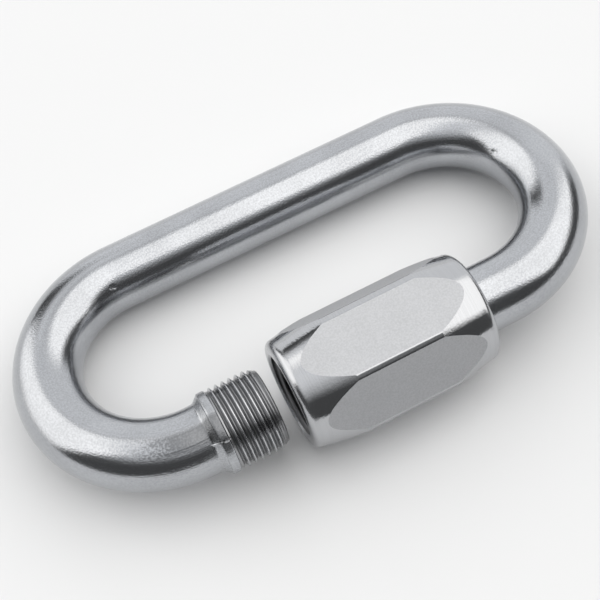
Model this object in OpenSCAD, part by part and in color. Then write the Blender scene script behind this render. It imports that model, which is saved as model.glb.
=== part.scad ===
// Chain quick link: a round rod bent into a long oval with a gap in one leg, and a hexagonal
// sleeve that runs on the thread at one side of the gap and screws over the other to close it.
// Millimetres, +Z up. The link lies as it comes to rest, on its plain leg and on one corner of the
// sleeve. X runs along the legs, and the origin is under the middle of the whole link.

/* [Rod] */
// Diameter of the round rod
rod_d = 10; // [6:0.5:16]
// Radius of the two end bows, at the middle of the rod
bow_r = 16; // [13:0.5:40]
// Length of the straight legs between the bows
leg_l = 47; // [42:1:120]

/* [Threaded ends] */
// Height of the thickened ends above the rod
upset_h = 1; // [0.5:0.1:3]
// Length of the slope from the rod up to a thickened end
ramp_l = 0.9; // [0.4:0.1:3]
// Length of plain rod between the bow and the slope of the free end
neck_l = 0.9; // [0.5:0.1:6]
// Length of the plain collar behind the thread of the free end
collar_l = 1.3; // [0.7:0.1:4]
// Edge radius of the collar
collar_round = 0.2; // [0.1:0.05:0.35]
// Length of the thread on the free end
free_thread_l = 7.5; // [5:0.5:12]
// Length of the thread on the end that carries the sleeve
carrier_thread_l = 10; // [6:0.5:14]
// Pitch of the thread
thread_pitch = 1; // [0.5:0.25:1.75]
// Length of the taper that leads into a thread
lead_l = 1.3; // [1:0.1:4]
// Width of the run-out groove behind the thread of the free end
runout_w = 0.5; // [0.3:0.1:1.2]
// Edge radius of the two tips
tip_round = 0.6; // [0.3:0.1:1.2]
// Clear opening between the two tips
gate_l = 12; // [6:0.5:16]

/* [Sleeve] */
// Length of the sleeve
sleeve_l = 29; // [22:0.5:60]
// Wall of the sleeve at the middle of a flat
sleeve_wall = 2.35; // [2:0.05:6]
// Running clearance all round between the threads and the bore of the sleeve
thread_clearance = 0.05; // [0.02:0.01:0.1]
// Distance from the tip of the free end to the sleeve, which is part way open
sleeve_gap = 2.6; // [0.5:0.1:5]
// Angle that the sleeve is turned on its thread, from a flat level on top towards the front
sleeve_turn = 5; // [0:0.5:20]
// Angle between the axis and the cone that is turned on each end of the sleeve
cone_angle = 10.8; // [8:0.1:20]
// Depth of the cone's small end below the flats
cone_drop = 0.23; // [0.1:0.01:0.6]
// Edge radius of the two end faces
end_round = 1.2; // [0.2:0.1:1.3]
// Chamfer at the two mouths of the bore
mouth_chamfer = 0.3; // [0.1:0.05:0.6]
// Depth that is turned off the corners of the hexagon
corner_trim = 0.3; // [0.05:0.05:0.5]

/* [Hidden] */
$fn = 96;

steel = [0.74, 0.75, 0.76];
// Depth of a metric outside thread for each millimetre of pitch
thread_depth_ratio = 0.6134;
// Straight steps in a quarter of a small rounded edge
round_steps = 4;
// How far a cutting shape reaches past what it cuts
overlap = 1;

rod_r = rod_d / 2;
thread_r = rod_r + upset_h;
core_r = thread_r - thread_depth_ratio * thread_pitch;
runout_r = (thread_r + core_r) / 2;

bore_r = thread_r + thread_clearance;
flat_r = bore_r + sleeve_wall;
sharp_corner_r = flat_r / cos(30);
corner_r = sharp_corner_r - corner_trim;
cone_end_r = flat_r - cone_drop;
cone_l = end_round + (corner_r - cone_end_r) / tan(cone_angle);

// Places along X on the leg with the gap, which ends at the bows
free_end_l = neck_l + ramp_l + collar_l + free_thread_l;
carrier_end_l = leg_l - free_end_l - gate_l;
free_tip_x = free_end_l - leg_l / 2;
carrier_tip_x = free_tip_x + gate_l;
sleeve_x = free_tip_x + sleeve_gap;

// Half of the angle that a flat spans, and how far the turned sleeve reaches down and to the front
flat_half_angle = acos(flat_r / corner_r);
rest_h = corner_r * cos(flat_half_angle - sleeve_turn);
front_reach = corner_r * cos(max(0, sleeve_turn + flat_half_angle - 30));

// At rest the gap's leg is held up by the sleeve, which is thicker than the rod
tilt = asin((rest_h - rod_r) / (2 * bow_r));
middle_y = (front_reach - rod_r) / 2;
middle_z = rod_r + bow_r * sin(tilt);
sleeve_y = middle_y - bow_r * cos(tilt);
sleeve_z = rest_h;

// Points of a quarter arc about a centre, each as [radius, distance along the axis]
function quarter_arc(centre, r, from) =
    [for (i = [0 : round_steps])
        let (a = from + 90 * i / round_steps)
            centre + r * [cos(a), sin(a)]];

// Turns a profile of [radius, distance] about the X axis
module turned(profile) {
    rotate([0, 90, 0]) rotate_extrude() polygon(profile);
}

// Straight length of rod along +X
module straight(l) {
    rotate([0, 90, 0]) cylinder(d = rod_d, h = l);
}

// Half a ring of rod, bent from the +Y leg round to the -Y leg over +X
module bow() {
    rotate(-90) rotate_extrude(angle = 180) translate([bow_r, 0]) circle(d = rod_d);
}

// Profile of a rounded collar that starts at distance d from the tip
function collar(d) = concat(
    quarter_arc([thread_r - collar_round, d + collar_round], collar_round, -90),
    quarter_arc([thread_r - collar_round, d + collar_l - collar_round], collar_round, 0));

// Profile of a threaded end from its tip, at 0, back over its shoulder, which is a list of points, and
// down the slope, which runs on as deep into the rod as it stands above it.
function threaded_end(thread_l, shoulder, slope_d) = concat(
    [[0, 0]],
    quarter_arc([core_r - tip_round, tip_round], tip_round, -90),
    [
        [thread_r, tip_round + lead_l],
        [thread_r, thread_l - runout_w],
        [runout_r, thread_l - runout_w / 2]
    ],
    shoulder,
    [
        [rod_r - upset_h, slope_d + 2 * ramp_l],
        [0, slope_d + 2 * ramp_l]
    ]);

// One bent rod: the plain leg, two bows, and two thickened ends that face each other
module link_rod() {
    color(steel)
        translate([0, middle_y, middle_z]) rotate([-tilt, 0, 0]) {
            translate([-leg_l / 2, bow_r, 0]) straight(leg_l);
            for (side = [0, 1])
                mirror([side, 0, 0]) translate([leg_l / 2, 0, 0]) bow();
            translate([-leg_l / 2, -bow_r, 0]) straight(neck_l + ramp_l);
            translate([free_tip_x, -bow_r, 0]) mirror([1, 0, 0])
                turned(threaded_end(free_thread_l, collar(free_thread_l), free_thread_l + collar_l));
            translate([leg_l / 2, -bow_r, 0]) mirror([1, 0, 0])
                straight(carrier_end_l - carrier_thread_l);
            translate([carrier_tip_x, -bow_r, 0])
                turned(threaded_end(carrier_thread_l, [[thread_r, carrier_thread_l]], carrier_thread_l));
        }
}

// Outer half of the turned profile of the sleeve, from the mouth to the corner of the hexagon
function sleeve_end() = concat(
    [[bore_r, mouth_chamfer], [bore_r + mouth_chamfer, 0]],
    quarter_arc([cone_end_r - end_round, end_round], end_round, -90),
    [[corner_r, cone_l]]);

// The same points at the other end of the sleeve, in the order that closes the outline
function sleeve_far_end() =
    let (near = sleeve_end(), last = len(near) - 1)
        [for (i = [last : -1 : 0]) [near[i][0], sleeve_l - near[i][1]]];

// Hexagonal bar, bored right through, with its corners and both ends turned
module hex_sleeve() {
    color(steel)
        translate([sleeve_x, sleeve_y, sleeve_z]) rotate([sleeve_turn, 0, 0])
            intersection() {
                turned(concat(sleeve_end(), sleeve_far_end()));
                translate([-overlap, 0, 0]) rotate([0, 90, 0]) rotate(30)
                    cylinder(r = sharp_corner_r, h = sleeve_l + 2 * overlap, $fn = 6);
            }
}

link_rod();
hex_sleeve();
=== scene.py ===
"""Chain quick link: the finish of its two pieces and the stage they lie on.

The link is a bent steel rod with a thread on each of its ends, and a hexagonal sleeve that runs on
one thread and screws over the other. Both pieces are built here with their cut threads, in the frame
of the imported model. Lengths are in metres.
"""

import math
from typing import NamedTuple

import bmesh
import bpy
import numpy as np
from mathutils import Matrix, Vector


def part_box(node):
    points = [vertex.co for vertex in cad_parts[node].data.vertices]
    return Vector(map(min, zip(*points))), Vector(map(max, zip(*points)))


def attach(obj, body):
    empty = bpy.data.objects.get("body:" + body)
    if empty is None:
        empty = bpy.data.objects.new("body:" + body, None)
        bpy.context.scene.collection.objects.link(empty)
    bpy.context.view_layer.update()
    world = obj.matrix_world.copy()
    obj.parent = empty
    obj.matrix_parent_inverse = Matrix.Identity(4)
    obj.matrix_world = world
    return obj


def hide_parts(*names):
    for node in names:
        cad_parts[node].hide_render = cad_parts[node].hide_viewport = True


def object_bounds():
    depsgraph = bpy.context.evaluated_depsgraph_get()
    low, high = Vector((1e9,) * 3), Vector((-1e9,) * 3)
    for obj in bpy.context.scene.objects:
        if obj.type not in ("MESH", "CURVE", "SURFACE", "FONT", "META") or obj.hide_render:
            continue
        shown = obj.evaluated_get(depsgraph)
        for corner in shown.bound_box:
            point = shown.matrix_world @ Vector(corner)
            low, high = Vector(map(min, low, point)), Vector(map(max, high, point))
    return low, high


bl_info = {
    "name": "Chain Quick Link",
    "version": (1, 0, 0),
    "blender": (4, 5, 0),
    "location": "3D View > Sidebar > Quick Link",
    "description": "Builds a steel quick link with cut threads, and the stage it lies on",
    "category": "Add Mesh",
}

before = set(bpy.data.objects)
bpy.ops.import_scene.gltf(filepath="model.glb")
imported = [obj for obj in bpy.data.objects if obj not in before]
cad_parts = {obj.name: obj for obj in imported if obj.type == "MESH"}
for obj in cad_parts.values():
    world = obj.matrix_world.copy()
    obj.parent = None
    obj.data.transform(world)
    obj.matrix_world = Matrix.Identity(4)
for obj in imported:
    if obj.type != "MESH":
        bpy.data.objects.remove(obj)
cad_low, cad_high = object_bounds()

ROD_NODE = "link_rod"
SLEEVE_NODE = "hex_sleeve"
ROD_BODY = "rod"
SLEEVE_BODY = "sleeve"

sleeve_low, sleeve_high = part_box(SLEEVE_NODE)
SLEEVE_Y = (sleeve_low.y + sleeve_high.y) / 2
SLEEVE_Z = (sleeve_low.z + sleeve_high.z) / 2
X_AXIS = np.array([1.0, 0.0, 0.0])
Z_AXIS = (0.0, 0.0, 1.0)
FULL_TURN = 2.0 * math.pi
MILLIMETRE = 0.001
MICROMETRE = 0.000001
# Width of the camera's sensor in millimetres
SENSOR_WIDTH = 36.0
BLACK = (0.0, 0.0, 0.0, 1.0)
SKIN_GROUP = "Tumbled Skin"
LINES_GROUP = "Tool Lines"

# What a mask or a value runs to over a span
RISE = (0.0, 1.0)
FALL = (1.0, 0.0)

# A metric thread for each unit of pitch: its crest and its flanks, measured along the axis from the
# middle of a crest, and the depth of the outside and of the inside thread
CREST_HALF = 0.0625
FLANK = 0.354
OUTSIDE_DEPTH = 0.6134
INSIDE_DEPTH = 0.5413
# Half of the groove in the sleeve that takes a crest, a little wider so that the threads clear each other
GROOVE_HALF = 0.0925
# Where the thread starts, as a share of its pitch
THREAD_START = 0.26

# Where the former that bent the bows has marked the rod: the distance along it from the tip of the free
# end, and the angle from the outside of the bow up, in degrees
FORMING_MARKS = ((0.05906, 140.1), (0.12764, 140.6))


class SoftBox(NamedTuple):
    """A soft box of the studio: its azimuth from the back towards the right and its elevation in degrees,
    then half its width and its upper and lower edge, each with the blur of that edge, as lengths at a
    distance of 1."""

    azimuth: float
    elevation: float
    half_width: float
    side_blur: float
    top: float
    top_blur: float
    foot: float
    foot_blur: float


LEFT_BOX = SoftBox(-54.7, 23.4, 0.584, 0.10, 0.95, 0.25, -0.42, 0.4)
RIGHT_BOX = SoftBox(96.0, 47.4, 0.652, 0.14, 1.0, 0.25, -0.45, 0.12)
# The room brightens from its dark front to the ceiling and to the back wall: azimuth and elevation of the
# middle of the wall in degrees, and the cosines of the angles from the zenith and from that middle between
# which each of them brightens. The ceiling's runs on past the zenith.
WALL_MIDDLE = (13.0, 2.6)
WALL_SPAN = (0.44, 0.70)
CEILING_SPAN = (0.55, 1.08)
# The dark flag leans along the line from its foot to its top, each an azimuth and an elevation in degrees.
# It fades over these spans: off that line, towards the front, and upwards.
FLAG_FOOT = (-18.6, 0.0)
FLAG_TOP = (71.0, 73.4)
FLAG_SIDE_SPAN = (0.075, 0.12)
FLAG_FRONT_SPAN = (0.3, 0.4)
FLAG_UPPER_SPAN = (0.4, 0.7)

# Numbers of the materials on each piece
BAR, THREAD = 0, 1
BORE, TURNED, FLAT = 0, 1, 2

# How many points a shape has: round the edge of a tip, down a slope and over the collar of the rod, across
# a flat and a corner of the sleeve, round the edge of its end face and along its plain bore
TIP_ROWS = 6
SLOPE_ROWS = 18
COLLAR_ROWS = 19
FLAT_COLUMNS = 15
CORNER_COLUMNS = 6
FACE_EDGE_ROWS = 8
RELIEF_ROWS = 4


# Settings

def length(name, description, default):
    """A length that the sidebar shows in the scene's units."""
    return bpy.props.FloatProperty(
        name=name, description=description, default=default, min=0.0, unit="LENGTH", precision=5)


def angle(name, description, degrees):
    """An angle, given in degrees and kept in radians."""
    return bpy.props.FloatProperty(
        name=name, description=description, default=math.radians(degrees), subtype="ANGLE")


def share(name, description, default, high=1.0):
    """A plain number from 0 up."""
    return bpy.props.FloatProperty(
        name=name, description=description, default=default, min=0.0, max=high)


def colour(name, description, default):
    """A linear colour."""
    return bpy.props.FloatVectorProperty(
        name=name, description=description, default=default, size=3, min=0.0, max=1.0, subtype="COLOR")


class QuickLinkRod(bpy.types.PropertyGroup):
    """Sizes of the bent rod and of its two threaded ends."""

    diameter: length("Rod diameter", "Diameter of the round rod", 0.010)
    bow_radius: length("Bow radius", "Radius of the end bows at the middle of the rod", 0.016)
    leg: length("Leg length", "Length of the straight legs between the bows", 0.047)
    thread_diameter: length("Thread diameter", "Outside diameter of the threads", 0.012)
    pitch: length("Thread pitch", "Travel of the sleeve in one turn", 0.001)
    free_end: length("Free end", "Length of the free end, from the bow to its tip", 0.0106)
    free_thread: length("Free thread", "Length of the thread on the free end", 0.0075)
    carrier_thread: length("Carrier thread", "Length of the thread that carries the sleeve", 0.010)
    gate: length("Gate", "Clear opening between the two tips", 0.012)
    collar: length("Collar", "Length of the rounded collar behind the free thread", 0.0013)
    collar_round: length("Collar round", "Height of the collar's rounded edges", 0.0002)
    ramp: length("Ramp", "Length of the slope from the rod up to a thickened end", 0.0009)
    lead: length("Lead", "Length of the taper that leads into a thread", 0.001)
    tip_round: length("Tip round", "Edge radius of the two tips", 0.0003)
    runout: length("Run-out", "Width of the groove behind a thread", 0.0005)
    flash_angle: angle("Flash angle", "Place of the die's flash line, from the outside of the bow up", 45.2)
    flash_height: length("Flash height", "Height of the flash line behind the collar", 0.0001)
    notch_depth: length("Notch depth", "Depth of the notch that the die leaves in the collar", 0.00022)


class QuickLinkSleeve(bpy.types.PropertyGroup):
    """Sizes of the hexagonal sleeve that its packed box doesn't give."""

    across_flats: length("Across flats", "Width of the hexagon across its flats", 0.0168)
    turn: angle("Turn", "Angle that the sleeve is turned on its thread", 5.0)
    clearance: length("Thread clearance", "Gap between the crests and the sleeve's thread", 0.00005)
    corner_radius: length("Corner radius", "Radius that the corners are turned to", 0.00929)
    corner_offset: length("Corner offset", "How far the hexagon lies off the axis it was turned on", 0.0002)
    edge: length("Edge", "Reach of the rubbed edges between the flats and the corners", 0.00007)
    cone_slope: share("Cone slope", "Rise of the turned ends for each length along the axis", 0.19076)
    cone_drop: length("Cone drop", "Depth of a cone's small end below the flats", 0.00023)
    end_round: length("End round", "Edge radius of the end faces", 0.0012)
    mouth: length("Mouth chamfer", "Chamfer at each mouth of the bore", 0.0003)
    relief: length("Relief", "Plain length of bore at the end that passes over the rod", 0.004)


class QuickLinkFinish(bpy.types.PropertyGroup):
    """Colours of the steel on its different surfaces."""

    rod: colour("Rod", "Bright drawn rod", (0.425, 0.436, 0.456))
    thread: colour("Thread", "Cut threads", (0.46, 0.466, 0.48))
    flat: colour("Flats", "Finely ground flats of the sleeve", (0.488, 0.495, 0.511))
    turned: colour("Turned ends", "Turned cones and end faces of the sleeve", (0.46, 0.467, 0.482))
    # The bore's dark colour is painted shade inside the sleeve.
    bore: colour("Bore", "Inside thread of the sleeve", (0.2, 0.201, 0.208))


class QuickLinkStage(bpy.types.PropertyGroup):
    """Floor, soft boxes, room and camera."""

    floor: colour("Floor", "Pale paper that the link lies on", (0.775, 0.781, 0.79))
    lamp: colour("Lamp", "Colour of the soft boxes", (1.0, 0.988, 0.968))
    room: colour("Room", "Tint of the room", (0.985, 0.993, 1.0))
    left_box: share("Left soft box", "Brightness of the soft box at the back on the left", 1.88, 10.0)
    right_box: share("Right soft box", "Brightness of the soft box above on the right", 1.92, 10.0)
    room_dark: share("Dark room", "Brightness of the room's front", 0.10, 10.0)
    wall: share("Back wall", "Brightness of the room's back wall", 1.1, 10.0)
    ceiling: share("Ceiling", "Brightness of the room's ceiling", 1.35, 10.0)
    flag: share("Flag", "How much light the dark flag at the back takes away", 0.92)
    azimuth: angle("Camera azimuth", "Angle of the camera about the upright axis", -18.929)
    elevation: angle("Camera elevation", "Angle of the camera above the floor", 60.734)
    roll: angle("Camera roll", "Turn of the camera about its own line of sight", -9.494)
    distance: length("Camera distance", "Distance from the camera to the point it looks at", 0.16756)
    lens: share("Focal length", "Focal length in millimetres on a 36 mm wide sensor", 69.476, 500.0)
    aim: bpy.props.FloatVectorProperty(
        name="Aim", description="Point that the camera looks at",
        default=(-0.001733, -0.000045, 0.006892), size=3, subtype="TRANSLATION", unit="LENGTH")


class QuickLinkSettings(bpy.types.PropertyGroup):
    """All settings of the quick link."""

    rod: bpy.props.PointerProperty(type=QuickLinkRod)
    sleeve: bpy.props.PointerProperty(type=QuickLinkSleeve)
    finish: bpy.props.PointerProperty(type=QuickLinkFinish)
    stage: bpy.props.PointerProperty(type=QuickLinkStage)


# Shapes

def smooth_step(x, low, high):
    """0 below low, 1 above high, and a smooth rise between them."""
    t = np.clip((x - low) / (high - low), 0.0, 1.0)
    return t * t * (3.0 - 2.0 * t)


def steps(low, high, step):
    """Evenly spaced values from low to high, both kept, no further apart than step."""
    return np.linspace(low, high, max(2, int(math.ceil((high - low) / step)) + 1))


def quarter_round(count):
    """Sine and cosine of evenly spaced angles from 0 to a right angle."""
    turn = np.linspace(0.0, math.pi / 2, count)
    return np.sin(turn), np.cos(turn)


def unit(azimuth, elevation):
    """Direction at an azimuth from the back, counted towards the right, and an elevation, in radians."""
    flat = math.cos(elevation)
    return Vector((math.sin(azimuth) * flat, math.cos(azimuth) * flat, math.sin(elevation)))


def unit_at(azimuth, elevation):
    """The same direction from angles in degrees."""
    return unit(math.radians(azimuth), math.radians(elevation))


class Skin:
    """The skin of a piece, gathered as patches that share the points along their seams."""

    def __init__(self):
        self.points, self.faces, self.slots = [], [], []
        self.values = {}
        self.count = 0

    def add(self, points, slots, keep=None, closed=True, **values):
        """Adds a grid of points as a patch. Slots gives the material of its faces, keep says which of
        them are wanted, a closed patch runs round to its first column, and the values stay on its
        points."""
        rows, columns, _ = points.shape
        index = self.count + np.arange(rows * columns).reshape(rows, columns)
        if closed:
            index = np.hstack([index, index[:, :1]])
        quads = np.stack([index[:-1, :-1], index[1:, :-1], index[1:, 1:], index[:-1, 1:]], axis=-1)
        slots = np.broadcast_to(slots, quads.shape[:2])
        if keep is not None:
            quads, slots = quads[keep], slots[keep]
        self.points.append(points.reshape(-1, 3))
        self.faces.append(quads.reshape(-1, 4))
        self.slots.append(slots.reshape(-1))
        for name, value in values.items():
            self.values.setdefault(name, []).append(value.reshape(rows * columns, -1))
        self.count += rows * columns

    def mesh(self, name):
        """One smooth closed mesh of all the patches."""
        seam = 0.2 * MICROMETRE
        mesh = bpy.data.meshes.new(name)
        mesh.from_pydata(np.vstack(self.points).tolist(), [], np.vstack(self.faces).tolist())
        mesh.polygons.foreach_set("material_index", np.concatenate(self.slots).astype(np.int32))
        for label, parts in self.values.items():
            value = np.vstack(parts).astype(np.float32)
            if value.shape[1] == 3:
                kept = mesh.attributes.new(label, "FLOAT_VECTOR", "POINT")
                kept.data.foreach_set("vector", value.ravel())
            else:
                kept = mesh.attributes.new(label, "FLOAT", "POINT")
                kept.data.foreach_set("value", value.ravel())
        work = bmesh.new()
        work.from_mesh(mesh)
        bmesh.ops.remove_doubles(work, verts=work.verts, dist=seam)
        bmesh.ops.recalc_face_normals(work, faces=work.faces)
        work.to_mesh(mesh)
        work.free()
        mesh.shade_smooth()
        return mesh


def thread_strip(phi, pitch, low, high, turns):
    """A right-hand thread between two places on its axis, as a grid with a row for each place in a turn
    and a column for each angle of the winding: the place along the axis, the angle, and which faces
    aren't cut off at the ends. A place in a turn runs from -0.5 to 0.5 and is 0 on the rod's crest."""
    first = math.floor(low / pitch) - 1
    last = math.ceil(high / pitch) + 1
    winding = np.concatenate([phi + FULL_TURN * lap for lap in range(first, last + 1)]
                             + [phi[:1] + FULL_TURN * (last + 1)])
    x = pitch * (turns[:, None] + winding[None, :] / FULL_TURN + THREAD_START)
    x = np.clip(x, low, high)
    corners = np.stack([x[:-1, :-1], x[1:, :-1], x[1:, 1:], x[:-1, 1:]])
    keep = np.ptp(corners, axis=0) > 0.0
    used = np.flatnonzero(keep.any(axis=0))
    columns = slice(used[0], used[-1] + 2)
    return x[:, columns], winding[None, columns], keep[:, used[0]:used[-1] + 1]


def add_piece(name, mesh, body, node_name, materials):
    """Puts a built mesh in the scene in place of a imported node."""
    piece = bpy.data.objects.new(name, mesh)
    bpy.context.scene.collection.objects.link(piece)
    for material in materials:
        mesh.materials.append(material)
    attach(piece, body)
    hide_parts(node_name)


# Rod

def leg_axes(rod):
    """Middle of the link, its direction from the front leg to the back leg, its upper side and its
    tilt."""
    front = np.array([0.0, SLEEVE_Y, SLEEVE_Z])
    rise = (SLEEVE_Z - rod.diameter / 2) / (2 * rod.bow_radius)
    level = math.sqrt(1.0 - rise * rise)
    across = np.array([0.0, level, -rise])
    normal = np.array([0.0, rise, level])
    return front + rod.bow_radius * across, across, normal, math.asin(rise)


def bow_starts(rod):
    """Distances along the rod, from the tip of the free end, at which each bow starts and stops."""
    bow = math.pi * rod.bow_radius
    return np.cumsum([rod.free_end, bow, rod.leg, bow])


def rod_points(rod, s, theta, radius):
    """Points of the rod at a distance s along it from the tip of the free end, at an angle from the
    outside of the bow up, and at a radius. Also gives them as on a straight bar."""
    middle, across, normal, _ = leg_axes(rod)
    left_start, left_stop, right_start, right_stop = bow_starts(rod)
    s, theta, radius = np.broadcast_arrays(s, theta, radius)
    bend = np.clip((s - left_start) / rod.bow_radius, 0.0, math.pi)
    bend = bend + np.clip((s - right_start) / rod.bow_radius, 0.0, math.pi)
    outward = -np.cos(bend)[..., None] * across - np.sin(bend)[..., None] * X_AXIS
    x = -rod.leg / 2 + np.maximum(left_start - s, 0.0) + np.clip(s - left_stop, 0.0, rod.leg)
    x = x - np.maximum(s - right_stop, 0.0)
    over = radius * np.cos(theta)
    up = radius * np.sin(theta)
    points = middle + (rod.bow_radius + over)[..., None] * outward + up[..., None] * normal
    return points + x[..., None] * X_AXIS, np.stack([s, over, up], axis=-1)


def outside_radius(rod, d, turn, thread_length):
    """Radius of an outside thread at a distance d from its tip, for a place in its turn."""
    crest = rod.thread_diameter / 2
    depth = OUTSIDE_DEPTH * rod.pitch
    cut = np.clip((np.abs(turn) - CREST_HALF) / FLANK, 0.0, 1.0)
    groove = np.clip((d - thread_length + rod.runout) * 2.0 / rod.runout, 0.0, 1.0)
    radius = crest - depth * (cut * (1.0 - groove) + 0.5 * groove)
    taper = crest - depth + (d - rod.tip_round) * depth / rod.lead
    return np.minimum(radius, taper)


def tip_profile(rod):
    """Distance from a tip and radius of the rings from the middle of its face to the thread."""
    root = rod.thread_diameter / 2 - OUTSIDE_DEPTH * rod.pitch
    face = root - rod.tip_round
    face_rings = face * np.array([0.0, 0.15, 0.5, 0.85, 0.97])
    sines, cosines = quarter_round(TIP_ROWS)
    d = np.concatenate([np.zeros(len(face_rings)), rod.tip_round * (1.0 - cosines)])
    return d, np.concatenate([face_rings, face + rod.tip_round * sines])


def slope_profile(rod, start, height):
    """Distance and radius down a slope from the shoulder at its start, blended into the plain rod."""
    blend = 0.09 * MILLIMETRE
    past_foot = 1.7
    run = np.linspace(0.0, past_foot * rod.ramp, SLOPE_ROWS)[1:]
    fall = height - run * height / rod.ramp
    return start + run, rod.diameter / 2 + (fall + np.sqrt(fall * fall + blend * blend)) / 2


def shoulder_profile(rod):
    """Distance from the free tip and radius from the groove behind its thread, over the rounded collar
    and down to the rod."""
    squareness = 6
    crest = rod.thread_diameter / 2
    start = rod.free_thread
    groove_r = crest - OUTSIDE_DEPTH * rod.pitch / 2
    foot_r = crest - rod.collar_round
    from_middle = -np.cos(np.linspace(0.0, math.pi, COLLAR_ROWS))
    collar_d = start + rod.collar * (1.0 + from_middle) / 2
    collar_r = foot_r + rod.collar_round * np.sqrt(1.0 - np.abs(from_middle) ** squareness)
    slope_d, slope_r = slope_profile(rod, start + rod.collar, foot_r - rod.diameter / 2)
    d = np.concatenate([[start - rod.runout / 2, start - 0.2 * rod.runout], collar_d, slope_d])
    radius = np.concatenate([[groove_r, groove_r], collar_r, slope_r])
    return d, radius


def carrier_profile(rod):
    """Distance from the carrier's tip and radius from the groove behind its thread down to the rod."""
    crest = rod.thread_diameter / 2
    groove_r = crest - OUTSIDE_DEPTH * rod.pitch / 2
    start = rod.carrier_thread
    brim = 10.0 * MICROMETRE
    slope_d, slope_r = slope_profile(rod, start, crest - rod.diameter / 2)
    d = np.concatenate([[start - rod.runout / 2, start - brim, start], slope_d])
    return d, np.concatenate([[groove_r, crest - brim, crest], slope_r])


def die_marks(rod, s, theta):
    """What the die that thickened the free end adds to its radius: a line of flash behind the collar
    and a notch across the collar."""
    half_width = 0.12 * MILLIMETRE
    notch_half = 0.3 * MILLIMETRE
    slope = rod.free_thread + rod.collar
    notch_middle = rod.free_thread + 0.25 * rod.collar
    rise = smooth_step(s, slope - 0.5 * MILLIMETRE, slope)
    fade = smooth_step(s, slope + 0.7 * MILLIMETRE, slope + 1.4 * MILLIMETRE)
    across = (theta - rod.flash_angle) * rod.thread_diameter / 2 / half_width
    ridge = np.exp(-across ** 2)
    flash = rod.flash_height * ridge * rise * (1.0 - fade)
    notch = rod.notch_depth * ridge * np.exp(-((s - notch_middle) / notch_half) ** 2)
    return flash - notch


def rod_mesh(rod):
    """The bent rod, from the tip of the free end round both bows to the tip that carries the sleeve."""
    _, _, _, tilt = leg_axes(rod)
    left_start, left_stop, right_start, right_stop = bow_starts(rod)
    total = right_stop + rod.leg - rod.free_end - rod.gate
    beside_flash = np.radians([-2.8, -1.9, -1.2, -0.6, 0.6, 1.2, 1.9, 2.8])
    all_round = np.radians(np.arange(0.0, 360.0, 2.5))
    theta = rod.flash_angle + np.concatenate([beside_flash, all_round])
    theta = np.unique(np.round(np.mod(theta, FULL_TURN), 9))[::-1]
    phi = math.pi - theta - tilt
    skin = Skin()

    def add(s, angles, radius, slots, **grid):
        points, bar = rod_points(rod, s, angles, radius)
        under_crest = rod.thread_diameter / 2 - radius
        depth = np.broadcast_to(under_crest / rod.pitch / OUTSIDE_DEPTH, bar.shape[:2])
        skin.add(points, slots, bar=bar, depth=depth, **grid)

    # Places in a turn from the middle of the groove to the crest, and on to the next groove
    turns = np.array([-0.5, -0.44, -0.40, -0.30, -0.18, -0.085, -0.062, -0.03])
    turns = np.concatenate([turns, -turns[::-1]])
    groove = rod.runout / 2
    tip_d, tip_r = tip_profile(rod)
    free_tip = rod.free_end - rod.leg / 2
    carrier_tip = free_tip + rod.gate

    add(tip_d[:, None], theta[None, :], tip_r[:, None], THREAD)
    x, winding, keep = thread_strip(
        phi, rod.pitch, free_tip - rod.free_thread + groove, free_tip - rod.tip_round, turns)
    d = free_tip - x
    add(d, math.pi - tilt - winding, outside_radius(rod, d, turns[:, None], rod.free_thread), THREAD,
        keep=keep, closed=False)

    shoulder_d, shoulder_r = shoulder_profile(rod)
    carrier_d, carrier_r = carrier_profile(rod)
    bow_step = math.radians(2.0) * rod.bow_radius
    leg_step = 1.5 * MILLIMETRE
    plain = np.concatenate([
        [(shoulder_d[-1] + left_start) / 2], steps(left_start, left_stop, bow_step),
        steps(left_stop, right_start, leg_step)[1:-1], steps(right_start, right_stop, bow_step),
        steps(right_stop, total - carrier_d[-1], leg_step)[1:-1]])
    s = np.concatenate([shoulder_d, plain, total - carrier_d[::-1]])
    radius = np.concatenate([shoulder_r, np.full(len(plain), rod.diameter / 2), carrier_r[::-1]])
    grid_s, grid_theta = np.meshgrid(s, theta, indexing="ij")
    in_groove = (s[1:] <= rod.free_thread) | (s[:-1] >= total - rod.carrier_thread)
    add(grid_s, grid_theta, radius[:, None] + die_marks(rod, grid_s, grid_theta),
        np.where(in_groove, THREAD, BAR)[:, None])

    x, winding, keep = thread_strip(
        phi, rod.pitch, carrier_tip + rod.tip_round, carrier_tip + rod.carrier_thread - groove, turns)
    d = x - carrier_tip
    add(total - d, math.pi - tilt - winding, outside_radius(rod, d, turns[:, None], rod.carrier_thread),
        THREAD, keep=keep, closed=False)
    add(total - tip_d[:, None], theta[None, :], tip_r[:, None], THREAD)
    return skin.mesh("rod_mesh")


# Sleeve

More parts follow.
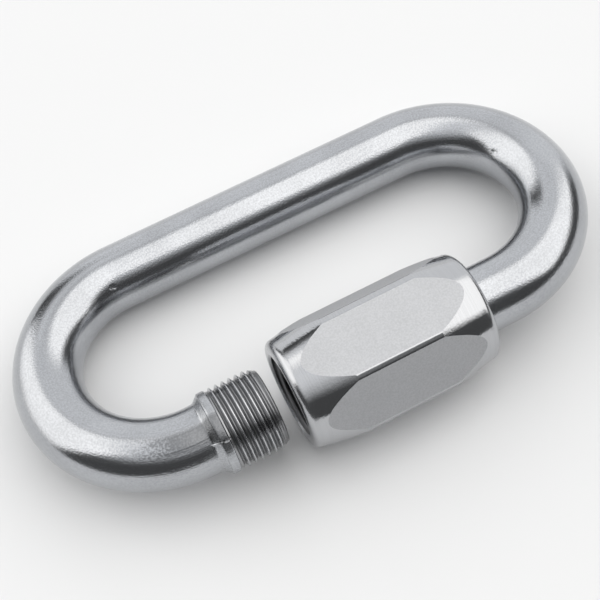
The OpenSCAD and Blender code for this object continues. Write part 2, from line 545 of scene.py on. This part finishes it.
def hexagon_columns(sleeve):
    """Angles and radii of points round the hexagon with its turned corners, and which of the stretches
    that follow them lie on a corner. Hexagon and turning axis are a little apart, so that the corners
    differ: the one at the top in front is the sharpest."""
    flat_r = sleeve.across_flats / 2
    edge = np.array([1.0, 2.0]) * sleeve.edge
    sharpest = sleeve.turn + math.radians(120)
    phi, radius, on_corner = [], [], []

    def corner_at(turn):
        r = sleeve.corner_radius + sleeve.corner_offset * math.cos(turn - sharpest)
        return r, math.sqrt(r * r - flat_r * flat_r)

    for side in range(6):
        facing = sleeve.turn + math.radians(90 + 60 * side)
        _, before = corner_at(facing - math.radians(30))
        corner_r, after = corner_at(facing + math.radians(30))
        inner = np.linspace(edge[-1] - before, after - edge[-1], FLAT_COLUMNS)[1:-1]
        sideways = np.concatenate([edge - before, inner, after - edge[::-1]])
        phi.append(facing + np.arctan2(sideways, flat_r))
        radius.append(np.hypot(sideways, flat_r))
        on_corner.append(np.arange(len(sideways)) == len(sideways) - 1)
        inside = math.atan2(after, flat_r) + sleeve.edge / corner_r
        band = np.linspace(facing + inside, facing + math.radians(60) - inside, CORNER_COLUMNS)
        phi.append(band)
        radius.append(np.full(len(band), corner_r))
        on_corner.append(np.full(len(band), True))
    return np.concatenate(phi), np.concatenate(radius), np.concatenate(on_corner)


def sleeve_end(sleeve, hexagon, bore_r, long):
    """Rings of one end of the sleeve, from the mouth of its bore out to the middle of its flats: the
    distance from that end, the radius and whether the ring starts the flats."""
    columns = len(hexagon)
    flat_r = sleeve.across_flats / 2
    cone_r = flat_r - sleeve.cone_drop
    face_in = bore_r + sleeve.mouth
    face_out = cone_r - sleeve.end_round
    meets = sleeve.end_round + (hexagon - cone_r) / sleeve.cone_slope
    edge = 0.04 * MILLIMETRE
    rings = []

    def add(x, radius, flats=False):
        rings.append((np.broadcast_to(x, columns), np.broadcast_to(radius, columns), flats))

    for part in (0.0, 0.05, 0.5, 0.93, 1.0):
        add(sleeve.mouth * (1.0 - part), bore_r + sleeve.mouth * part)
    for part in (0.05, 0.5, 0.95):
        add(0.0, face_in + part * (face_out - face_in))
    for sine, cosine in zip(*quarter_round(FACE_EDGE_ROWS)):
        add(sleeve.end_round * (1.0 - cosine), face_out + sleeve.end_round * sine)
    run = meets - sleeve.end_round
    for part in (0.1, 0.3, 0.5, 0.7, 0.9):
        add(sleeve.end_round + part * (run - edge), cone_r + sleeve.cone_slope * part * (run - edge))
    add(meets - edge, hexagon - sleeve.cone_slope * edge)
    add(meets, hexagon, True)
    add(meets + edge, hexagon, True)
    for part in (0.06, 0.3, 0.6):
        add(meets + part * (long / 2 - meets), hexagon, True)
    return rings


def sleeve_mesh(rod, sleeve):
    """The hexagonal sleeve: threaded bore, end faces, turned cones and flats, as one closed skin."""
    long = sleeve_high.x - sleeve_low.x
    axis = np.array([sleeve_low.x, SLEEVE_Y, SLEEVE_Z])
    phi, hexagon, on_corner = hexagon_columns(sleeve)
    bore_r = rod.thread_diameter / 2 + sleeve.clearance
    skin = Skin()

    def add(x, angles, radius, slots, profile, **grid):
        x, angles, radius, profile = np.broadcast_arrays(x, angles, radius, profile)
        points = axis + np.stack([x, radius * np.cos(angles), radius * np.sin(angles)], axis=-1)
        depth = (bore_r - radius) / rod.pitch / INSIDE_DEPTH
        skin.add(points, slots, profile=profile, depth=depth, **grid)

    # The thread is cut after the mouths, and stops short of the end that passes over the rod. The places in
    # a turn are counted as on the rod.
    turns = np.array([-0.5, -0.44, -0.40, -0.26, -0.12, -0.09, -0.05])
    turns = np.concatenate([turns, -turns[::-1]])
    stop = long - sleeve.relief
    x, winding, keep = thread_strip(phi, rod.pitch, axis[0] + sleeve.mouth, axis[0] + stop, turns)
    x = x - axis[0]
    cut = np.clip((np.abs(turns[:, None]) - GROOVE_HALF) / (FLANK - GROOVE_HALF + CREST_HALF), 0.0, 1.0)
    room = np.minimum(x - sleeve.mouth, stop - x)
    add(x, winding, bore_r - np.minimum(INSIDE_DEPTH * rod.pitch * cut, room), BORE, 0.0,
        keep=keep, closed=False)
    x = np.linspace(stop, long - sleeve.mouth, RELIEF_ROWS)
    add(x[:, None], phi[None, :], bore_r, BORE, 0.0)

    rings = sleeve_end(sleeve, hexagon, bore_r, long)
    x = np.array([ring[0] for ring in rings])
    radius = np.array([ring[1] for ring in rings])
    flats = np.array([ring[2] for ring in rings])
    lengths = np.hypot(np.diff(x, axis=0), np.diff(radius, axis=0))
    profile = np.vstack([np.zeros(len(phi)), np.cumsum(lengths, axis=0)])
    middle = np.full((1, len(phi)), long / 2)
    x = np.vstack([x, middle, long - x[::-1]])
    radius = np.vstack([radius, hexagon[None, :], radius[::-1]])
    profile = np.vstack([profile, profile[-1:] + middle - x[len(profile) - 1], profile[::-1]])
    flats = np.concatenate([flats, [True], flats[::-1]])
    on_flats = (flats[:-1] & flats[1:])[:, None] & ~on_corner[None, :]
    add(x, phi[None, :], radius, np.where(on_flats, FLAT, TURNED), profile)
    return skin.mesh("sleeve_mesh")


# Materials

def node(tree, kind, **values):
    """A shader node with some of its own settings given by name."""
    made = tree.nodes.new(kind)
    for name, value in values.items():
        setattr(made, name, value)
    return made


def feed(tree, source, target):
    """Links an output to an input, or sets the input where the source is a plain value."""
    if isinstance(source, bpy.types.NodeSocket):
        tree.links.new(source, target)
    else:
        target.default_value = source


def calculate(tree, operation, *values):
    """A Math node's result."""
    made = node(tree, "ShaderNodeMath", operation=operation)
    for value, target in zip(values, made.inputs):
        feed(tree, value, target)
    return made.outputs[0]


def vector(tree, operation, *values, output="Vector"):
    """A Vector Math node's result."""
    made = node(tree, "ShaderNodeVectorMath", operation=operation)
    for value, target in zip(values, made.inputs):
        feed(tree, value, target)
    return made.outputs[output]


def all_of(tree, mask, *others):
    """The product of some masks, which is 1 where all of them are 1."""
    for other in others:
        mask = calculate(tree, "MULTIPLY", mask, other)
    return mask


def scaled(tree, value, factor):
    """A vector or colour times a number."""
    made = node(tree, "ShaderNodeVectorMath", operation="SCALE")
    feed(tree, value, made.inputs[0])
    feed(tree, factor, made.inputs["Scale"])
    return made.outputs["Vector"]


def mixed(tree, factor, first, second):
    """A colour between two others, by a factor from 0 to 1."""
    made = node(tree, "ShaderNodeMix", data_type="RGBA")
    for name, given in (("Factor", factor), ("A", first), ("B", second)):
        feed(tree, given, made.inputs[name])
    return made.outputs["Result"]


def noise(tree, place, scale, detail, roughness=0.5):
    """Value of a noise texture."""
    made = node(tree, "ShaderNodeTexNoise", noise_dimensions="3D")
    feed(tree, place, made.inputs["Vector"])
    feed(tree, scale, made.inputs["Scale"])
    feed(tree, detail, made.inputs["Detail"])
    feed(tree, roughness, made.inputs["Roughness"])
    return made.outputs["Fac"]


def noise_vector(tree, place, scale):
    """Three values of a noise texture, each about a half."""
    made = node(tree, "ShaderNodeTexNoise", noise_dimensions="3D")
    feed(tree, place, made.inputs["Vector"])
    feed(tree, scale, made.inputs["Scale"])
    return made.outputs["Color"]


def remap(tree, value, span, to):
    """A value mapped smoothly from one span to another."""
    made = node(tree, "ShaderNodeMapRange", interpolation_type="SMOOTHSTEP")
    for name, given in zip(("Value", "From Min", "From Max", "To Min", "To Max"), (value, *span, *to)):
        feed(tree, given, made.inputs[name])
    return made.outputs["Result"]


def between(tree, mask, first, last):
    """A value that runs from first to last as a mask runs from 0 to 1."""
    return remap(tree, mask, RISE, (first, last))


def new_group(name, inputs, outputs):
    """An empty shader node group, with its own input and output nodes."""
    tree = bpy.data.node_groups.new(name, "ShaderNodeTree")
    for label, kind, default in inputs:
        socket = tree.interface.new_socket(label, in_out="INPUT", socket_type=kind)
        if default is not None:
            socket.default_value = default
    for label in outputs:
        tree.interface.new_socket(label, in_out="OUTPUT", socket_type="NodeSocketFloat")
    return tree, node(tree, "NodeGroupInput"), node(tree, "NodeGroupOutput")


def tumbled_skin_group():
    """Soft unevenness of tumbled steel: a fine orange peel and slow drifts of its polish."""
    tree, given, made = new_group(
        SKIN_GROUP,
        [("Place", "NodeSocketVector", None), ("Grain", "NodeSocketFloat", 4000.0),
         ("Drift", "NodeSocketFloat", 160.0)],
        ["Height", "Speckle", "Polish"])
    contrast = (0.3, 0.7)
    fine = noise(tree, given.outputs["Place"], given.outputs["Grain"], detail=2.0)
    slow = noise(tree, given.outputs["Place"], given.outputs["Drift"], detail=3.0)
    feed(tree, fine, made.inputs["Height"])
    feed(tree, remap(tree, fine, contrast, RISE), made.inputs["Speckle"])
    feed(tree, remap(tree, slow, contrast, RISE), made.inputs["Polish"])
    return tree


def tool_lines_group():
    """Fine lines that a tool leaves, given how many there are for each metre along each axis."""
    tree, given, made = new_group(
        LINES_GROUP,
        [("Place", "NodeSocketVector", None), ("Density", "NodeSocketVector", (50.0, 4000.0, 4000.0))],
        ["Height", "Tone"])
    contrast = (0.35, 0.65)
    spread = vector(tree, "MULTIPLY", given.outputs["Place"], given.outputs["Density"])
    lines = noise(tree, spread, scale=1.0, detail=2.0, roughness=0.6)
    feed(tree, lines, made.inputs["Height"])
    feed(tree, remap(tree, lines, contrast, RISE), made.inputs["Tone"])
    return tree


def shared_groups():
    """The node groups that the steels share, built once: the tumbled skin and the tool lines."""
    found = bpy.data.node_groups
    return found.get(SKIN_GROUP) or tumbled_skin_group(), found.get(LINES_GROUP) or tool_lines_group()


def place_group(tree, group, **values):
    """A placed node group with its inputs given by name."""
    made = node(tree, "ShaderNodeGroup", node_tree=group)
    for name, value in values.items():
        feed(tree, value, made.inputs[name])
    return made


def attribute(tree, name, output="Fac"):
    """A value kept on the mesh's points."""
    return node(tree, "ShaderNodeAttribute", attribute_name=name).outputs[output]


def own_place(tree):
    """A point's place in the frame of its own piece."""
    return node(tree, "ShaderNodeTexCoord").outputs["Object"]


def new_steel(name):
    """A new metal material: its node tree and its shader."""
    material = bpy.data.materials.new(name)
    material.use_nodes = True
    tree = material.node_tree
    shader = tree.nodes["Principled BSDF"]
    shader.inputs["Metallic"].default_value = 1.0
    return material, tree, shader


def tinted(tree, colour_value, low, high, tone):
    """A colour between a darker and a lighter shade of itself, by a tone from 0 to 1."""
    darker = (*[c * low for c in colour_value], 1.0)
    lighter = (*[min(c * high, 1.0) for c in colour_value], 1.0)
    return mixed(tree, tone, darker, lighter)


def relief(tree, height, distance, normal=None):
    """A bump of that depth in metres, over another one if given."""
    made = node(tree, "ShaderNodeBump")
    made.inputs["Strength"].default_value = 1.0
    made.inputs["Distance"].default_value = distance
    feed(tree, height, made.inputs["Height"])
    if normal is not None:
        feed(tree, normal, made.inputs["Normal"])
    return made.outputs["Normal"]


def struck_mark(tree, bar, centre):
    """0 in the middle of a mark that the former has struck in the rod, and 1 beyond its ragged edge."""
    raggedness = 0.4 * MILLIMETRE
    spread = vector(tree, "MULTIPLY_ADD", noise_vector(tree, bar, scale=2500.0), (raggedness,) * 3, bar)
    middle = tuple(c + raggedness / 2 for c in centre)
    shorter_along = (0.6, 1.0, 1.0)
    off = vector(tree, "MULTIPLY", vector(tree, "SUBTRACT", spread, middle), shorter_along)
    reach = vector(tree, "LENGTH", off, output="Value")
    return remap(tree, reach, (0.1 * MILLIMETRE, 0.6 * MILLIMETRE), RISE)


def darker_patch(tree, along, speckle):
    """1 on a patch with a ragged edge on the upper outside of the rod beside the free end's collar, where
    the colour is darkened, 0 elsewhere."""
    raggedness = 3.0 * MILLIMETRE
    ragged = calculate(tree, "MULTIPLY_ADD", speckle, raggedness, along.outputs["X"])
    near = remap(tree, ragged, (15.0 * MILLIMETRE, 21.0 * MILLIMETRE), FALL)
    above = remap(tree, along.outputs["Z"], (3.8 * MILLIMETRE, 4.2 * MILLIMETRE), RISE)
    outside = remap(tree, along.outputs["Y"], (0.1 * MILLIMETRE, 0.9 * MILLIMETRE), RISE)
    return all_of(tree, near, above, outside)


def rod_bar_steel(colour_value, rod_r, skin_group, lines_group):
    """Bright drawn bar, tumbled to a soft polish, rougher where the die held it, and darker on a patch on
    its upper outside beside the free end's collar.
    """
    polish_share, drawn_share, speckle_share, darkening = 0.35, 0.15, 0.5, 0.56
    material, tree, shader = new_steel("rod_bar_steel")
    bar = attribute(tree, "bar", "Vector")
    along = node(tree, "ShaderNodeSeparateXYZ")
    feed(tree, bar, along.inputs["Vector"])
    tumbled = place_group(tree, skin_group, Place=bar, Grain=3800.0, Drift=140.0)
    drawn = place_group(tree, lines_group, Place=bar, Density=(60.0, 3600.0, 3600.0))
    speckle = tumbled.outputs["Speckle"]

    tone = calculate(tree, "MULTIPLY", tumbled.outputs["Polish"], polish_share)
    tone = calculate(tree, "MULTIPLY_ADD", drawn.outputs["Tone"], drawn_share, tone)
    tone = calculate(tree, "MULTIPLY_ADD", speckle, speckle_share, tone)
    # The colour darkens on a patch on the upper outside of the rod beside the free end's collar.
    darkened = calculate(tree, "MULTIPLY", darker_patch(tree, along, speckle), darkening)
    bright = tinted(tree, colour_value, 0.86, 1.14, tone)
    feed(tree, mixed(tree, darkened, bright, BLACK), shader.inputs["Base Color"])

    forged = remap(tree, along.outputs["X"], (9.0 * MILLIMETRE, 12.0 * MILLIMETRE), (0.12, 0.0))
    rough = calculate(tree, "ADD", between(tree, speckle, 0.18, 0.12), forged)
    feed(tree, rough, shader.inputs["Roughness"])

    worked = remap(tree, along.outputs["X"], (12.0 * MILLIMETRE, 22.0 * MILLIMETRE), (1.0, 0.2))
    lines = calculate(tree, "MULTIPLY", drawn.outputs["Height"], worked)
    normal = relief(tree, lines, 24.0 * MICROMETRE)
    for s, degrees in FORMING_MARKS:
        theta = math.radians(degrees)
        centre = (s, rod_r * math.cos(theta), rod_r * math.sin(theta))
        normal = relief(tree, struck_mark(tree, bar, centre), 60.0 * MICROMETRE, normal)
    normal = relief(tree, tumbled.outputs["Height"], 18.0 * MICROMETRE, normal)
    feed(tree, normal, shader.inputs["Normal"])
    return material


def cut_thread_steel(colour_value, skin_group):
    """Cut threads of the rod: painted shade darkens their roots and the colour is a little lighter on their
    crests; the roots are also rougher.
    """
    root_roughness = 0.14
    material, tree, shader = new_steel("cut_thread_steel")
    bar = attribute(tree, "bar", "Vector")
    tumbled = place_group(tree, skin_group, Place=bar, Grain=3200.0, Drift=300.0)
    # Painted shade: the colour darkens from the crests down into the roots of the thread and over the lead
    # at the tip.
    root = remap(tree, attribute(tree, "depth"), (0.05, 0.85), RISE)
    feed(tree, tinted(tree, colour_value, 1.05, 0.5, root), shader.inputs["Base Color"])
    polish = between(tree, tumbled.outputs["Polish"], 0.2, 0.13)
    feed(tree, calculate(tree, "MULTIPLY_ADD", root, root_roughness, polish), shader.inputs["Roughness"])
    return material


def ground_flat_steel(colour_value, skin_group):
    """Flats of the sleeve, evenly fine-ground."""
    material, tree, shader = new_steel("ground_flat_steel")
    place = own_place(tree)
    tumbled = place_group(tree, skin_group, Place=place, Grain=4200.0, Drift=220.0)
    ground = tinted(tree, colour_value, 0.94, 1.06, tumbled.outputs["Speckle"])
    feed(tree, ground, shader.inputs["Base Color"])
    feed(tree, between(tree, tumbled.outputs["Polish"], 0.60, 0.58), shader.inputs["Roughness"])
    feed(tree, relief(tree, tumbled.outputs["Height"], 6.0 * MICROMETRE), shader.inputs["Normal"])
    return material


def turned_steel(colour_value, skin_group, lines_group):
    """Turned cones, corners and end faces of the sleeve, with fine rings from the tool. The lip round each
    mouth is duller."""
    material, tree, shader = new_steel("turned_steel")
    place = own_place(tree)
    profile = attribute(tree, "profile")
    joined = node(tree, "ShaderNodeCombineXYZ")
    feed(tree, profile, joined.inputs["X"])
    wander = calculate(tree, "MULTIPLY", noise(tree, place, scale=150.0, detail=1.0), 4.0 * MILLIMETRE)
    feed(tree, wander, joined.inputs["Y"])
    rings = place_group(tree, lines_group, Place=joined.outputs["Vector"], Density=(5200.0, 260.0, 0.0))
    tumbled = place_group(tree, skin_group, Place=place, Grain=3000.0, Drift=300.0)
    tone = rings.outputs["Tone"]
    feed(tree, tinted(tree, colour_value, 0.975, 1.02, tone), shader.inputs["Base Color"])
    lip = remap(tree, profile, (1.5 * MILLIMETRE, 4.0 * MILLIMETRE), (0.14, 0.0))
    feed(tree, calculate(tree, "ADD", between(tree, tone, 0.11, 0.08), lip), shader.inputs["Roughness"])
    normal = relief(tree, rings.outputs["Height"], 0.6 * MICROMETRE)
    normal = relief(tree, tumbled.outputs["Height"], 9.0 * MICROMETRE, normal)
    feed(tree, normal, shader.inputs["Normal"])
    return material


def bore_steel_painted_shade(colour_value, skin_group):
    """Inside thread of the sleeve, with painted shade: a dark colour over the whole bore, darkest in the
    grooves of its thread and lighter on its crests.
    """
    material, tree, shader = new_steel("bore_steel_painted_shade")
    place = own_place(tree)
    tumbled = place_group(tree, skin_group, Place=place, Grain=2200.0, Drift=300.0)
    # Painted shade: the grooves of the inside thread are darker and the crests between them lighter.
    crest = remap(tree, attribute(tree, "depth"), (0.2, 0.95), RISE)
    feed(tree, tinted(tree, colour_value, 0.7, 1.4, crest), shader.inputs["Base Color"])
    feed(tree, between(tree, tumbled.outputs["Polish"], 0.42, 0.3), shader.inputs["Roughness"])
    return material


# Stage

def towards(tree, facing, direction):
    """How far the room's directions point a given way: 1 straight that way, 0 square to it."""
    return vector(tree, "DOT_PRODUCT", facing, direction, output="Value")


def soft_box_mask(tree, facing, box):
    """1 where the room shows the soft box, 0 elsewhere, and a soft border between them."""
    never_behind = 0.01
    axis = unit_at(box.azimuth, box.elevation)
    side = unit_at(box.azimuth + 90.0, 0.0)
    ahead = calculate(tree, "MAXIMUM", towards(tree, facing, axis), never_behind)
    sideways = calculate(tree, "DIVIDE", towards(tree, facing, side), ahead)
    upwards = calculate(tree, "DIVIDE", towards(tree, facing, side.cross(axis)), ahead)

    def border(value, edge, blur, to):
        return remap(tree, value, (edge - blur, edge + blur), to)

    wide = border(calculate(tree, "ABSOLUTE", sideways), box.half_width, box.side_blur, FALL)
    under_top = border(upwards, box.top, box.top_blur, FALL)
    over_foot = border(upwards, box.foot, box.foot_blur, RISE)
    return all_of(tree, wide, under_top, over_foot)


def flag_mask(tree, facing):
    """1 where a narrow dark flag leans at the back on the left, beside the soft box there."""
    foot = unit_at(*FLAG_FOOT)
    across = foot.cross(unit_at(*FLAG_TOP)).normalized()
    off = calculate(tree, "ABSOLUTE", towards(tree, facing, across))
    beside = remap(tree, off, FLAG_SIDE_SPAN, FALL)
    behind = remap(tree, towards(tree, facing, foot), FLAG_FRONT_SPAN, RISE)
    low = remap(tree, towards(tree, facing, Z_AXIS), FLAG_UPPER_SPAN, FALL)
    return all_of(tree, low, beside, behind)


def room_world(stage):
    """A studio that is dark in front, with a pale back wall and ceiling, two soft boxes and a dark flag."""
    world = bpy.data.worlds.new("studio")
    world.use_nodes = True
    tree = world.node_tree
    facing = node(tree, "ShaderNodeTexCoord").outputs["Generated"]
    overhead = towards(tree, facing, Z_AXIS)
    ceiling = remap(tree, overhead, CEILING_SPAN, (stage.room_dark, stage.ceiling))
    backwards = towards(tree, facing, unit_at(*WALL_MIDDLE))
    wall = remap(tree, backwards, WALL_SPAN, (stage.room_dark, stage.wall))
    room = scaled(tree, tuple(stage.room), calculate(tree, "MAXIMUM", ceiling, wall))
    for box, brightness in ((LEFT_BOX, stage.left_box), (RIGHT_BOX, stage.right_box)):
        lamp = (*[c * brightness for c in stage.lamp], 1.0)
        room = mixed(tree, soft_box_mask(tree, facing, box), room, lamp)
    unflagged = between(tree, flag_mask(tree, facing), 1.0, 1.0 - stage.flag)
    feed(tree, scaled(tree, room, unflagged), tree.nodes["Background"].inputs["Color"])
    return world


def floor_material(colour_value):
    """Plain pale paper."""
    material = bpy.data.materials.new("pale_paper")
    material.use_nodes = True
    shader = material.node_tree.nodes["Principled BSDF"]
    shader.inputs["Roughness"].default_value = 0.9
    shader.inputs["Specular IOR Level"].default_value = 0.1
    shader.inputs["Base Color"].default_value = (*colour_value, 1.0)
    return material


def make_floor(colour_value):
    """A wide floor just under the lowest point of the link."""
    reach, gap = 40.0, 0.00002
    z = cad_low.z - gap
    mesh = bpy.data.meshes.new("floor")
    mesh.from_pydata([(-reach, -reach, z), (reach, -reach, z), (reach, reach, z), (-reach, reach, z)],
                     [], [(0, 1, 2, 3)])
    mesh.materials.append(floor_material(colour_value))
    floor = bpy.data.objects.new("floor", mesh)
    bpy.context.scene.collection.objects.link(floor)


def make_camera(stage):
    """The camera at the photograph's place."""
    data = bpy.data.cameras.new("camera")
    data.sensor_width = SENSOR_WIDTH
    data.lens = stage.lens
    data.clip_start = 0.005
    data.clip_end = 100.0
    camera = bpy.data.objects.new("camera", data)
    bpy.context.scene.collection.objects.link(camera)
    back = unit(math.pi - stage.azimuth, stage.elevation)
    place = Vector(stage.aim) + stage.distance * back
    turn = (-back).to_track_quat("-Z", "Y").to_matrix().to_4x4()
    camera.matrix_world = Matrix.Translation(place) @ turn @ Matrix.Rotation(stage.roll, 4, "Z")
    bpy.context.scene.camera = camera


# Operators

class QUICKLINK_OT_rod(bpy.types.Operator):
    """Build the bent rod with its two threaded ends"""

    bl_idname = "quicklink.rod"
    bl_label = "Build Rod"

    def execute(self, context):
        settings = context.scene.quick_link
        rod, finish = settings.rod, settings.finish
        skin, lines = shared_groups()
        steels = [rod_bar_steel(finish.rod, rod.diameter / 2, skin, lines),
                  cut_thread_steel(finish.thread, skin)]
        add_piece("bent_rod", rod_mesh(rod), ROD_BODY, ROD_NODE, steels)
        return {"FINISHED"}


class QUICKLINK_OT_sleeve(bpy.types.Operator):
    """Build the hexagonal sleeve with its threaded bore"""

    bl_idname = "quicklink.sleeve"
    bl_label = "Build Sleeve"

    def execute(self, context):
        settings = context.scene.quick_link
        finish = settings.finish
        skin, lines = shared_groups()
        steels = [bore_steel_painted_shade(finish.bore, skin), turned_steel(finish.turned, skin, lines),
                  ground_flat_steel(finish.flat, skin)]
        mesh = sleeve_mesh(settings.rod, settings.sleeve)
        add_piece("threaded_sleeve", mesh, SLEEVE_BODY, SLEEVE_NODE, steels)
        return {"FINISHED"}


class QUICKLINK_OT_stage(bpy.types.Operator):
    """Lay out the floor, the soft boxes, the room and the camera"""

    bl_idname = "quicklink.stage"
    bl_label = "Set Stage"

    def execute(self, context):
        scene = context.scene
        stage = scene.quick_link.stage
        scene.view_settings.view_transform = "Standard"
        make_floor(stage.floor)
        scene.world = room_world(stage)
        make_camera(stage)
        return {"FINISHED"}


class QUICKLINK_PT_sidebar(bpy.types.Panel):
    """Quick link settings and builders"""

    bl_idname = "QUICKLINK_PT_sidebar"
    bl_label = "Quick Link"
    bl_space_type = "VIEW_3D"
    bl_region_type = "UI"
    bl_category = "Quick Link"

    def draw(self, context):
        settings = context.scene.quick_link
        for title, group, operator in (
                ("Rod", settings.rod, QUICKLINK_OT_rod),
                ("Sleeve", settings.sleeve, QUICKLINK_OT_sleeve),
                ("Finish", settings.finish, None),
                ("Stage", settings.stage, QUICKLINK_OT_stage)):
            box = self.layout.box()
            box.label(text=title)
            for name in group.__annotations__:
                box.prop(group, name)
            if operator is not None:
                box.operator(operator.bl_idname)


CLASSES = (
    QuickLinkRod, QuickLinkSleeve, QuickLinkFinish, QuickLinkStage, QuickLinkSettings,
    QUICKLINK_OT_rod, QUICKLINK_OT_sleeve, QUICKLINK_OT_stage, QUICKLINK_PT_sidebar)


def register():
    for cls in CLASSES:
        bpy.utils.register_class(cls)
    bpy.types.Scene.quick_link = bpy.props.PointerProperty(type=QuickLinkSettings)


def unregister():
    del bpy.types.Scene.quick_link
    for cls in reversed(CLASSES):
        bpy.utils.unregister_class(cls)


def main():
    register()
    bpy.ops.quicklink.stage()
    bpy.ops.quicklink.rod()
    bpy.ops.quicklink.sleeve()


if __name__ == "__main__":
    main()
